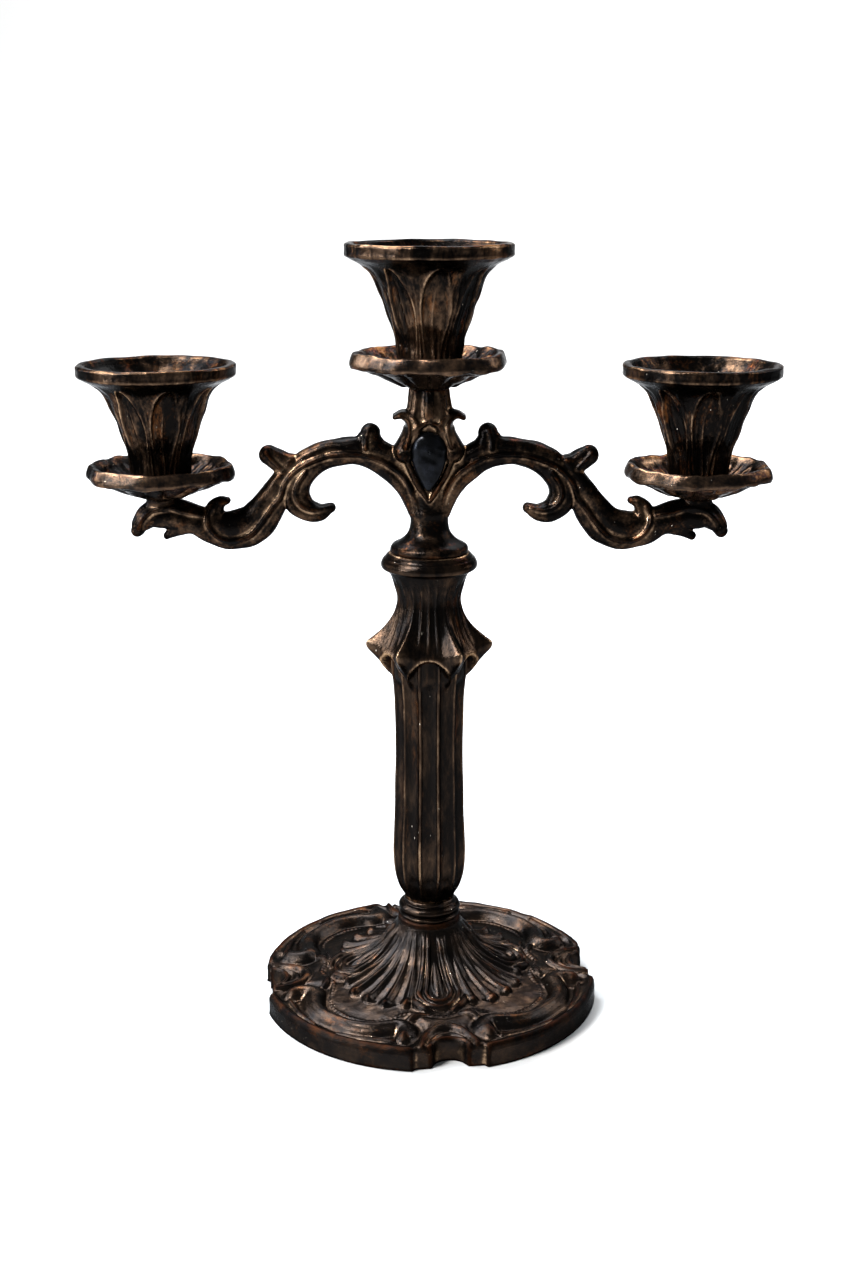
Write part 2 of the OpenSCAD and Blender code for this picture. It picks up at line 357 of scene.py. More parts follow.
def patina(name, brown, rust, worn, seed, streak=1.0, contrast=1.0, black=1.0, warmth=1.0):
    """Aged cast metal: near-black patina, brown patches, rust in recesses and tan, rubbed edges;
    recesses also get painted shade.

    `brown`, `rust` and `worn` are the strengths of those three, `streak` below 1 draws the noise out
    upwards, `contrast` is that of the mottling, and `black` and `warmth` lighten the black and brown.
    """
    material, tree, shader = new_material(name)
    source = tree.nodes.new("ShaderNodeTexCoord").outputs["Object"]
    shift = tree.nodes.new("ShaderNodeMapping")
    shift.inputs["Location"].default_value = (seed, seed * 0.7, seed * 1.3)
    shift.inputs["Scale"].default_value = (1, 1, streak)
    tree.links.new(source, shift.inputs["Vector"])
    coords = shift.outputs["Vector"]
    stand = attribute_node(tree, "stand")
    deep = attribute_node(tree, "deep")
    patches = noise_node(tree, coords, PATCHES, 4)
    blotches = noise_node(tree, coords, BLOTCHES, 6, 0.65)
    grain = noise_node(tree, coords, GRAIN, 6, 0.7)

    def add(a, b):
        return math_node(tree, "ADD", a, b)

    def times(a, b):
        return math_node(tree, "MULTIPLY", a, b)

    mottle = add(spread(tree, patches, 2.8), spread(tree, blotches, 2.6))
    mottle = times(add(mottle, spread(tree, grain, 1.4)), contrast)
    mottle = add(mottle, times(stand, 0.7))
    brown_at = times(ramp_node(tree, mottle, -0.25, 0.95), brown)
    colour = mix_colour(tree, brown_at, tuple(black * c for c in BLACK_BROWN),
                        tuple(warmth * c for c in BROWN))
    rust_noise = noise_node(tree, coords, RUST_SPOTS, 5, 0.6)
    rust_level = add(spread(tree, rust_noise, 2.4), times(deep, 0.35))
    rust_level = add(rust_level, spread(tree, grain, 1.2))
    rust_at = times(ramp_node(tree, rust_level, 0.20, 1.0), rust)
    colour = mix_colour(tree, rust_at, colour, RUST)
    breaks = add(spread(tree, blotches, 3.4), spread(tree, grain, 2.4))
    breaks = add(add(breaks, spread(tree, patches, 2.6)), 0.80)
    worn_level = times(times(stand, worn), breaks)
    worn_at = times(ramp_node(tree, worn_level, 0.25, 1.45), 0.75)
    colour = mix_colour(tree, worn_at, colour, TAN)
    specks = noise_node(tree, coords, SPECKS, 1, 0.4)
    speck_at = ramp_node(tree, specks, 0.80, 0.83)
    colour = mix_colour(tree, speck_at, colour, PALE)
    # painted shade: the colour is multiplied darker where the surface lies deep, standing in for
    # shade in recesses
    painted_shade = tree.nodes.new("ShaderNodeMix")
    painted_shade.data_type = "RGBA"
    painted_shade.blend_type = "MULTIPLY"
    tree.links.new(ramp_node(tree, deep, 0.15, 1.3), painted_shade.inputs["Factor"])
    tree.links.new(colour, painted_shade.inputs["A"])
    painted_shade.inputs["B"].default_value = PAINTED_RECESS_SHADE
    tree.links.new(painted_shade.outputs["Result"], shader.inputs["Base Color"])
    rough = add(times(grain, 0.16), times(blotches, 0.20))
    rough = add(rough, times(deep, 0.20))
    rough = add(rough, times(worn_at, 0.12))
    rough = add(rough, 0.01)
    tree.links.new(rough, shader.inputs["Roughness"])
    shader.inputs["Metallic"].default_value = 0.92
    shader.inputs["Specular IOR Level"].default_value = 0.3
    shader.inputs["Specular Tint"].default_value = GRAZING
    height = add(times(blotches, 0.5), times(grain, 0.46))
    bump_node(tree, height, 0.0007, 0.45, shader)
    return material


def polished(name):
    """Smooth blue-black enamel with a faint mottle."""
    material, tree, shader = new_material(name)
    coords = tree.nodes.new("ShaderNodeTexCoord").outputs["Object"]
    mottle = noise_node(tree, coords, 190, 5)
    grain = noise_node(tree, coords, 1500, 4)
    colour = mix_colour(tree, ramp_node(tree, mottle, 0.42, 0.68),
                        (0.0040, 0.0042, 0.0048), (0.0085, 0.0092, 0.0118))
    tree.links.new(colour, shader.inputs["Base Color"])
    rough = math_node(tree, "ADD", math_node(tree, "MULTIPLY", mottle, 0.35), 0.06)
    tree.links.new(rough, shader.inputs["Roughness"])
    shader.inputs["Metallic"].default_value = 0.8
    shader.inputs["Specular IOR Level"].default_value = 0.4
    shader.inputs["Specular Tint"].default_value = GRAZING
    height = math_node(tree, "MULTIPLY", grain, 0.15)
    height = math_node(tree, "ADD", mottle, height)
    bump_node(tree, height, 0.0004, 0.4, shader)
    return material


def dull_steel(name):
    """Zinc-plated steel gone grey, with darker stains and turning marks."""
    material, tree, shader = new_material(name)
    coords = tree.nodes.new("ShaderNodeTexCoord").outputs["Object"]
    stains = noise_node(tree, coords, 420, 5)
    grain = noise_node(tree, coords, 2600, 3)
    colour = mix_colour(tree, ramp_node(tree, stains, 0.38, 0.66),
                        (0.34, 0.33, 0.31), (0.13, 0.105, 0.085))
    tree.links.new(colour, shader.inputs["Base Color"])
    rough = math_node(tree, "ADD", math_node(tree, "MULTIPLY", stains, 0.4), 0.2)
    tree.links.new(rough, shader.inputs["Roughness"])
    shader.inputs["Metallic"].default_value = 0.9
    bump_node(tree, grain, 0.0002, 0.4, shader)
    return material


# ---- foot

FOOT_TURN = math.radians(7)   # the foot's notches stand this far round from the arms
FOOT_R = 77.0
NOTCH_R = 8.0
NOTCH_AT = FOOT_R - 1.5   # distance of a notch's centre from the foot's axis
STEP_HALF = 15.5   # beside each notch the edge is flat this far, at STEP_R from the axis
STEP_R = 73.6


def foot_outline(phi):
    """Radius of the foot's edge at an angle from the nearest notch's axis."""
    across = np.abs(np.sin(phi))
    outline = np.full(phi.shape, FOOT_R)
    flat = STEP_R / np.cos(phi)
    step = smoothstep(np.tan(np.abs(phi)) * STEP_R, STEP_HALF - 0.5, STEP_HALF + 0.5)
    outline = np.minimum(flat, FOOT_R) * (1 - step) + outline * step
    inside = np.clip(NOTCH_R**2 - (NOTCH_AT * across) ** 2, 0, None)
    bite = NOTCH_AT * np.cos(phi) - np.sqrt(inside)
    return np.where((inside > 0) & (bite < outline), bite, outline)


def polar(points):
    """Points given as (degrees from the notch axis, radius, half width), as x, y, half width."""
    return [(r * math.cos(math.radians(a)), r * math.sin(math.radians(a)), w) for a, r, w in points]


SCROLL = spline(polar([
    (45, 66.0, 4.7), (38, 65.8, 4.8), (31, 64.2, 5.0), (25.5, 61.2, 5.3), (20.8, 58.6, 5.6),
    (17.2, 59.8, 5.6), (15.8, 63.6, 5.0), (16.2, 67.0, 4.0)]))
SCROLL_LEAF = spline(polar([
    (40, 73.6, 0.8), (31, 72.4, 1.4), (23.5, 70.8, 1.9), (19.4, 70.4, 1.2)]))
ROPE = spline(polar([(45, 58.6, 1), (35, 57.4, 1), (27.5, 53.6, 1), (20.5, 48.6, 1),
                     (14, 46.8, 1), (7, 48.4, 1), (0, 50, 1)]))
SHELL_RIB = 16.5   # degrees between the ribs of a shell
SHELL_ROOT = 9.0   # radius that a shell's ribs fan out from
CARTOUCHE_LONG = 20.5   # half axes of the oval panel that surrounds a notch
CARTOUCHE_WIDE = 13.2
ROPE_BEAD = 2.1   # from one bead of the rope line to the next
FLARE_R = 15   # radius at the top of the flare, where the tongues begin
# a tongue's outer and inner band: radius of the tip, half width at the tip and at the neck
FOOT_TONGUE = (43.6, 8.9, 4.0)
FOOT_TONGUE_INNER = (39.8, 5.6, 2.4)
FOOT_TONGUE_END = FOOT_TONGUE[0] - FOOT_TONGUE[1]   # radius of the centre of its round end


def u_shape(r, across, tip_r, tip_half, neck_half):
    """Distance from a U whose arms run up the flare and whose round end reaches tip_r."""
    centre = tip_r - tip_half
    down = np.clip((r - FLARE_R) / (centre - FLARE_R), 0, 1)
    half = neck_half + (tip_half - neck_half) * down**1.3
    arms = np.abs(across - half)
    end = np.abs(np.hypot(r - centre, across) - tip_half)
    return np.where(r < centre, arms, end)


def foot_relief(r, phi):
    """Height of the ornament on the foot, where r is the radius and phi the angle from a notch."""
    a, b = r * np.cos(phi), np.abs(r * np.sin(phi))
    degrees = np.degrees(np.abs(phi))
    from_edge = foot_outline(phi) - r
    lobes = smoothstep(degrees, 12, 14)
    # thin line along the rim
    h = 0.75 * smoothstep(from_edge, 0.3, 1.0) * smoothstep(-from_edge, -3.2, -2.0) * lobes
    # raised panel inside the rope line, which is a row of small beads
    d, side, _, along = beside(ROPE, a, b)
    h += 1.0 * smoothstep(side * d, -1.2, 1.4)
    beads = 0.46 + 0.28 * np.cos(TAU * along / ROPE_BEAD)
    h += beads * bump(d, 0.65) - 0.35 * bump(d - 1.8, 0.8)
    # broad scroll band with its bulb, and the leaf between the bulb and the rim
    d, side, half, _ = beside(SCROLL, a, b)
    h -= 1.5 * bump(d - half - 0.6, 2.0)
    groove = 0.45 * bump(side * d - 0.42 * half, 0.8) * smoothstep(degrees, 19, 25)
    h = np.maximum(h, 4.3 * dome(d, half) ** 0.9 - groove)
    d, _, half, _ = beside(SCROLL_LEAF, a, b)
    h = np.maximum(h, 1.9 * dome(d, half))
    # cartouche: nested arcs round the notch
    oval = np.hypot((a - NOTCH_AT) * CARTOUCHE_WIDE / CARTOUCHE_LONG, b)
    inside = smoothstep(-oval, -CARTOUCHE_WIDE - 1.2, -CARTOUCHE_WIDE + 0.4)
    h = h * (1 - inside) + 0.2 * inside
    h = np.maximum(h, 2.4 * dome(oval - CARTOUCHE_WIDE + 1.2, 1.9))
    h = np.maximum(h, 1.2 * inside * dome(oval - CARTOUCHE_WIDE + 4.4, 1.2))
    h = np.maximum(h, 1.7 * inside * dome(np.hypot(a - NOTCH_AT, b) - NOTCH_R - 1.4, 1.5))
    # tongues that run down the flare, each of two nested bands round a drop
    outer = u_shape(r, b, *FOOT_TONGUE)
    tongue = 0.35 + 1.9 * dome(outer, 1.55)
    tongue = np.maximum(tongue, 2.1 * dome(u_shape(r, b, *FOOT_TONGUE_INNER), 1.45))
    tongue = np.maximum(tongue, 2.3 * dome(np.hypot((r - 29) / 8.4, b / (1.3 + 0.045 * r)), 1.0))
    # shells that fan out from the flare between the tongues
    from_lobe = np.radians(45) - np.abs(phi)
    c, e = r * np.cos(from_lobe), r * np.sin(from_lobe)
    fan = np.degrees(np.arctan2(e, c - SHELL_ROOT))
    reach = np.hypot(c - SHELL_ROOT, e)
    bend = fan + 0.16 * (reach - 16) * np.sin(np.radians(2 * fan))
    rib = 0.5 + 0.5 * np.cos(TAU * bend / SHELL_RIB)
    tip = 34.5 + 2.6 * np.sqrt(rib) - 0.06 * fan + 1.2 * np.sin(np.radians(bend * 5.1))
    in_shell = smoothstep(tip - reach, -0.6, 0.9)
    shell = 0.45 + 1.75 * rib**2.6 * (0.14 + 0.86 * smoothstep(reach, 9, 25))
    shell += 0.75 * bump(tip - reach - 2.0, 1.5) * rib
    relief = h + in_shell * shell
    # a crescent on each side of the tongue's end, and a small pointed leaf beyond it
    turn = np.degrees(np.arctan2(b, a - FOOT_TONGUE_END))
    swell = smoothstep(turn, 14, 40) * smoothstep(-turn, -92, -62)
    crescent = dome(np.hypot(a - FOOT_TONGUE_END, b) - 11.8, 0.4 + 1.7 * swell) * swell
    relief = np.maximum(relief, 0.9 + 2.1 * crescent - 2 * (crescent <= 0))
    leaf_a, leaf_b, leaf_turn = 48.6, 12.4, 1.15
    u = (a - leaf_a) * math.cos(leaf_turn) + (b - leaf_b) * math.sin(leaf_turn)
    v = -(a - leaf_a) * math.sin(leaf_turn) + (b - leaf_b) * math.cos(leaf_turn) + 0.07 * u**2
    leaf = dome(u, 5.0) * dome(v, 0.5 + 1.5 * dome(u - 1, 6.5))
    relief = np.maximum(relief, 0.9 + 1.7 * leaf - 2 * (leaf <= 0))
    # a tongue hides what is under it
    tip_half, neck_half = FOOT_TONGUE[1:]
    half = np.interp(r, [FLARE_R, FOOT_TONGUE_END], [neck_half, tip_half])
    arms = (b < half) & (r < FOOT_TONGUE_END)
    end = (np.hypot(r - FOOT_TONGUE_END, b) < tip_half) & (r >= FOOT_TONGUE_END)
    covered = np.where(arms | end, 1.0, smoothstep(-outer, -1.6, -1.0))
    relief = relief * (1 - covered) + tongue * covered
    return relief * smoothstep(r, 14.4, 18)


def make_foot():
    """The foot, a lathed section with its edge pulled in at the notches and ornament on top."""
    top_h = mm_box("base")[1][2]
    theta = angles(600)
    phi = (theta - FOOT_TURN + TAU / 8) % (TAU / 4) - TAU / 8
    flare = section([(14.2, top_h - 0.1), (14.5, 36.4), (15.9, 32.6), (18.6, 27.2), (22.6, 22.2),
                     (28.6, 17.6), (36, 14.2), (44, 12), (52, 10.8), (58, 9.8), (66, 9.3),
                     (74, 9.3), (76.2, 9.0)], 128, 0.92)
    wall = np.array([(76.7, 8.7), (76.95, 8.1), (77, 7.2), (77, 5.4), (77, 3.4), (77, 1.4),
                     (76.9, 0.5), (76.4, 0)])
    under = np.array([(74.6, 0), (72.6, 0), (72.4, 0.6), (72.4, 4.6), (71, 5.2), (58, 6.6),
                      (45, 8.2), (36, 10), (28, 13), (21, 17.8), (16, 23.4), (12.2, 25.2),
                      (12, 24), (12, 9.6), (11.8, 9.4), (3.6, 9.4), (3.4, 9.8), (3.4, 36)])
    top_close = np.array([(3.4, top_h - 0.4), (3.8, top_h - 0.1)])
    rows = np.vstack([flare, wall, under, top_close])
    r, z = rows[:, :1], rows[:, 1:]
    edge = foot_outline(phi)[None, :]
    pull = smoothstep(r, 56, FOOT_R) * (r / FOOT_R)
    radius = r - pull * (FOOT_R - edge)
    height = np.broadcast_to(z, radius.shape).copy()
    upper = np.zeros(len(rows), bool)
    upper[: len(flare)] = True
    slope = np.gradient(rows, axis=0)
    normal = np.stack([-slope[:, 1], slope[:, 0]], 1)
    normal /= np.linalg.norm(normal, axis=1)[:, None] + 1e-9
    phis = np.broadcast_to(phi[None, :], radius.shape)
    relief = foot_relief(radius[upper], phis[upper])
    relief *= smoothstep(np.arange(len(flare)), 0, 6)[:, None]
    radius[upper] += relief * normal[upper, :1]
    height[upper] += relief * normal[upper, 1:]
    points = turned(radius, height, theta[None, :])
    rough = 0.12 * lumps(points, 13, 1) + 0.03 * lumps(points, 3.6, 2)
    mask = (upper | (rows[:, 0] > 76.6))[:, None]
    points[..., 2] += np.where(mask & (points[..., 2] > 1), rough, 0) * 0.8
    squeeze = 1 + np.where(mask & (points[..., 2] > 1), rough - 0.45, 0) / 100
    points[..., :2] *= squeeze[..., None]
    wear = np.ones(radius.shape)
    wear[upper] = 0.15 + 0.85 * smoothstep(relief, 0.4, 1.7)
    wear[upper] = np.maximum(wear[upper], 0.7 * smoothstep(r[upper], 74.5, 76))
    make_piece("foot_casting", *ring_grid(points), "stand", "iron_foot", iron_foot, ["base"],
               edge=0.30, wear=wear.ravel())


# ---- collar and column


def make_collar():
    """The turned ring between the foot and the column."""
    low, high = mm_box("base_collar")
    z0, z1 = low[2], high[2]
    mid = z0 + 4.4
    outer = [(11.8, z0 + 0.05), (13.2, z0 + 0.2), (13.75, z0 + 0.9), (13.5, z0 + 1.6),
             (12.9, z0 + 2.0), (13.2, z0 + 2.5), (14.05, z0 + 3.4), (14.3, z0 + 4.5),
             (14.0, z0 + 5.6), (13.1, z0 + 6.5), (12.0, z0 + 6.9), (11.6, z0 + 7.2),
             (11.8, z0 + 7.7), (11.7, z0 + 8.3), (11.3, z1 - 0.1), (10.6, z1 - 0.02)]
    rows = np.vstack([section(outer, 64), [(10.4, z1 - 0.02), (ROD_HOLE_R, z1 - 0.02),
                                           (3.4, mid), (ROD_HOLE_R, z0 + 0.02),
                                           (11, z0 + 0.02)]])
    theta = angles(240)
    points = turned(rows[:, :1], rows[:, 1:], theta[None, :])
    push = 0.14 * lumps(points, 8, 5) * (rows[:, :1] > 11.7)
    points[..., :2] *= (1 + (push - 0.2) / 13)[..., None]
    make_piece("collar_ring", *ring_grid(points), "stand", "iron_column", iron_column,
               ["base_collar"], edge=0.30)


# height and radius up the shaft, along the middle of a petal and between two petals
SHAFT = [(47.6, 10.9), (50, 12.0), (52.5, 13.2), (56, 14.5), (60, 15.5), (65, 16.1), (72, 16.4),
         (82, 16.1), (94, 15.6), (113, 15.2), (130, 15.2), (141, 15.4), (146, 15.7), (152, 16.2),
         (158, 16.8), (175, 17)]
PETAL_TIP = [(150, 17.0), (154, 18.2), (158, 20.8), (162, 24.2), (164.6, 26.6), (166.6, 27.75),
             (168.6, 27.5), (170.4, 25.4), (172.6, 22.7), (175.4, 19.7), (179, 16.8), (183, 14.7),
             (188.5, 13.5), (194.7, 15.0), (198.5, 16.6), (201.5, 18.1)]
PETAL_GAP = [(150, 20.2), (163.6, 20.2), (166, 20.0), (169.6, 18.4), (174, 16.5), (179, 15.0),
             (183, 14.1), (188.5, 13.4), (194.7, 14.9), (198.5, 16.6), (201.5, 18.1)]


def column_radius(z, theta):
    """Radius of the column at height z and angle theta from the front."""
    petal = TAU / 6
    from_petal = np.abs((theta + petal) % petal - petal / 2)
    across = from_petal / (petal / 2)
    # fluted shaft: shallow channels between thin raised fillets
    flute = TAU / 12
    in_flute = np.abs((theta + flute / 2) % flute - flute / 2) / (flute / 2)
    depth = 1.9 * smoothstep(z, 49, 60) * (1 - 0.5 * smoothstep(z, 150, 168))
    channel = np.clip(1 - (in_flute / 0.9) ** 2, 0, 1) ** 0.7
    fillet = 0.48 * bump(in_flute - 1, 0.15) * smoothstep(z, 49, 54)
    pinch = 0.8 * smoothstep(-z, -57, -50) * bump(in_flute, 0.5)
    shaft = profile(np.minimum(z, 170), SHAFT) - depth * channel + fillet - pinch
    # below the petals' edge a keel runs down from each tip
    tip = profile(np.maximum(z, 150), PETAL_TIP)
    keel = 16.4 + (tip - 16.4) * bump(from_petal, 0.07 + 0.06 * smoothstep(z, 154, 166))
    rise = smoothstep(z, 148, 156)
    below = shaft * (1 - rise) + np.maximum(shaft, keel) * rise
    # above it the petals sweep out from the waist to their tips, hollow between
    gap = profile(np.maximum(z, 150), PETAL_GAP)
    blade = 0.40 * np.clip(1 - across, 0, 1) ** 1.7 + 0.60 * bump(from_petal, 0.15)
    skirt = gap + (tip - gap) * blade
    edge = 164.4 - 10.0 * np.clip(1 - across, 0, 1) ** 2.2
    rolled = 0.45 * bump(z - edge - 1.6, 1.8) * (1 - bump(from_petal, 0.12))
    above = skirt + rolled
    folds = np.abs(np.cos(theta * 12 + 0.5 * np.sin(theta * 5))) ** 5 - 0.2
    above = above + 0.62 * folds * smoothstep(z, 166, 175) * smoothstep(-z, -200, -193)
    lip = smoothstep(z - edge, -0.45, 0.45)
    return below * (1 - lip) + above * lip


def make_column():
    """The fluted column with its six petals and the bead round its top."""
    low, high = mm_box("column")
    z0, z1 = low[2], high[2]
    around = 480
    theta = angles(around)
    bead_z = z1 - 7.6
    heights = np.concatenate([np.linspace(z0 + 0.1, 62, 28, endpoint=False),
                              np.linspace(62, 146, 36, endpoint=False),
                              np.linspace(146, 176, 64, endpoint=False),
                              np.linspace(176, bead_z, 26)])
    from_front = theta + TAU / 4
    body = column_radius(heights[:, None], from_front[None, :])
    bead = section([(18.4, bead_z + 0.15), (19.8, bead_z + 0.4), (20.8, bead_z + 1.1),
                    (21.1, bead_z + 2.3), (20.8, bead_z + 3.7), (20.0, bead_z + 5.0),
                    (19.3, bead_z + 5.6), (18.9, bead_z + 6.2), (18.2, z1 - 0.7),
                    (17.4, z1 - 0.15), (16.8, z1 - 0.02)], 34)
    inside = np.array([(15, z1 - 0.02), (ROD_HOLE_R, z1 - 0.02), (3.4, z1 - 2), (3.4, 128),
                       (3.4, z0 + 2), (ROD_HOLE_R, z0 + 0.02), (9.4, z0 + 0.02)])
    radius = np.vstack([body, np.repeat(bead[:, :1], around, 1), np.repeat(inside[:, :1], around, 1)])
    z = np.concatenate([heights, bead[:, 1], inside[:, 1]])
    points = turned(radius, z[:, None], theta[None, :])
    push = 0.10 * lumps(points, 19, 11) + 0.015 * lumps(points, 3.4, 12)
    push = np.where(radius > 9.5, push - 0.05, 0)
    points[..., :2] *= (1 + push / np.maximum(radius, 1))[..., None]
    make_piece("column_casting", *ring_grid(points), "stand", "iron_column", iron_column,
               ["column"], edge=0.12, rounds=6)


# ---- cups and pans


CUP_LEAVES = 8
LEAF_TOP = 0.83   # part of the cup's height that the leaves reach
SIDE_CUP_RIM = 34   # rim radius that the cup's section is drawn for


def leaf_pattern(angle, level, count, top):
    """Relief of lancet leaves on a cup; level runs from 0 at its foot to 1 at its rim."""
    period = TAU / count
    angle = angle + 0.05 * np.sin(3 * angle + 4 * level) + 0.03 * np.sin(7 * angle - 9 * level)
    a = np.abs((angle + period / 2) % period - period / 2) / (period / 2)
    up = np.clip(level / top, 0, 1.2)
    half = 0.46 + 0.36 * smoothstep(up, 0.0, 0.62)
    past = np.clip((up - 0.62) / 0.38, 0, None)
    half = np.where(past > 0, 0.82 * np.sqrt(np.clip(1 - past**1.5, 0, 1)), half)
    outline = 0.95 * bump((a - half) * (0.6 + level), 0.15)
    outline *= smoothstep(up, 0.15, 0.5)
    inside = smoothstep(half - a, -0.02, 0.14)
    vein = 0.42 * bump(a, 0.09) * smoothstep(-up, -0.93, -0.7)
    dish = -1.25 * inside * np.clip(1 - (a / np.maximum(half, 0.05)) ** 2, 0, 1) ** 0.6
    dish *= 0.35 + 0.65 * smoothstep(up, 0.1, 0.5)
    behind = np.abs(1 - a)
    back_leaf = 0.50 * bump(behind - 0.36 * np.sqrt(np.clip(1.12 - up, 0, 1)), 0.13)
    back_vein = 0.6 * bump(behind, 0.08)
    streaks = np.abs(np.cos(14 * angle + 0.8 * np.sin(5 * angle))) ** 3
    streaks = 0.62 * streaks * smoothstep(-level, -0.70, -0.30)
    uneven = 0.62 + 0.38 * np.sin(5 * angle + 11 * level) * np.sin(17 * level - 3 * angle + 1)
    return outline * uneven + inside * (vein + dish) + streaks + (1 - inside) * (
        back_leaf + back_vein) * smoothstep(-up, -1.16, -0.98)


def make_cup(side, turn, seed):
    """A candle cup; `turn` is the angle of its first leaf."""
    low, high = mm_box(f"{side}_candle_cup")
    centre = (low + high) / 2
    z0, height = low[2], high[2] - low[2]
    rim = (high[0] - low[0]) / 2
    k = rim / SIDE_CUP_RIM
    outer = section([(12.2 * k, 0.1), (12.5 * k, 3), (12.75 * k, 0.2 * height),
                     (13.5 * k, 0.3 * height), (15.3 * k, 0.4 * height), (17.1 * k, 0.5 * height),
                     (18.9 * k, 0.6 * height), (21.0 * k, 0.7 * height), (23.4 * k, 0.78 * height),
                     (26.2 * k, 0.826 * height), (29.4 * k, 0.858 * height),
                     (rim - 2.3, 0.878 * height)], 84)
    band_low = 0.893 * height
    band = section([(rim - 1.7, band_low - 0.3), (rim - 0.9, band_low + 0.1),
                    (rim - 0.4, band_low + 0.8), (rim - 0.35, band_low + 2.2),
                    (rim - 0.25, height - 2.2), (rim - 0.25, height - 1.1),
                    (rim - 0.6, height - 0.35), (rim - 1.3, height - 0.1),
                    (rim - 2.2, height - 0.08), (rim - 3.1, height - 0.2),
                    (rim - 3.8, height - 0.8), (rim - 4.6, height - 2.0)], 30)
    bowl = section([(rim - 5.4, height - 3.1), (25.4 * k, 0.885 * height), (21.4, 0.83 * height),
                    (18.6, 0.75 * height), (16.2, 0.67 * height), (13.6, 0.60 * height),
                    (12.1, 31.2), (11.4, 29.8)], 44)
    socket = np.array([(11.25, 29.4), (11.25, 20), (11.25, 9.9), (11.1, 9.7), (8.2, 9.7), (8, 9.5),
                       (8, 4.7), (7.8, 4.5), (SCREW_HOLE_R, 4.5), (2.7, 4.3), (2.7, 0.3),
                       (3, 0.02), (11.5, 0.02)])
    rows = np.vstack([outer, band, bowl, socket])
    around = 400
    theta = angles(around)
    radius = np.repeat(rows[:, :1], around, 1)
    level = rows[:, 1:] / height
    n = len(outer)
    relief = leaf_pattern(theta[None, :] - turn, level[:n], CUP_LEAVES, LEAF_TOP)
    relief *= smoothstep(level[:n], 0.05, 0.16) * smoothstep(-level[:n], -0.875, -0.80)
    radius[:n] += relief * (0.55 + 0.5 * level[:n])
    m = n + len(band)
    radius[n:m] += 0.10 * np.cos(9 * theta + seed) * np.cos(4 * theta - seed) - 0.05
    # soft facets inside the rim, on the upper rows of the bowl
    faceted = 34
    facets = np.abs(np.sin(theta * 8 + seed)) ** 4
    radius[m: m + faceted] -= 0.5 * facets[None, :] * smoothstep(np.arange(faceted), 0, 8)[:, None]
    points = turned(radius, np.repeat(rows[:, 1:], around, 1) + z0, theta[None, :])
    points[..., 0] += centre[0]
    push = 0.16 * lumps(points, 9, seed) + 0.035 * lumps(points, 2.8, seed + 1)
    shown = np.zeros(len(rows), bool)
    shown[3: m + len(bowl) - 3] = True
    push = np.where(shown[:, None], push - 0.1, 0)
    direction = points - [centre[0], 0, 0]
    direction[..., 2] = 0
    direction /= np.linalg.norm(direction, axis=-1, keepdims=True) + 1e-9
    points += direction * push[..., None]
    at_rim = np.abs(rows[:, 1:] - height) < 1
    points[..., 2] += np.where(at_rim, 0.16 * lumps(points, 16, seed + 2) - 0.3, 0)
    make_piece(f"{side}_cup_casting", *ring_grid(points), f"{side}_cup", "iron_cup", iron_cup,
               [f"{side}_candle_cup"], edge=0.17, rounds=8)


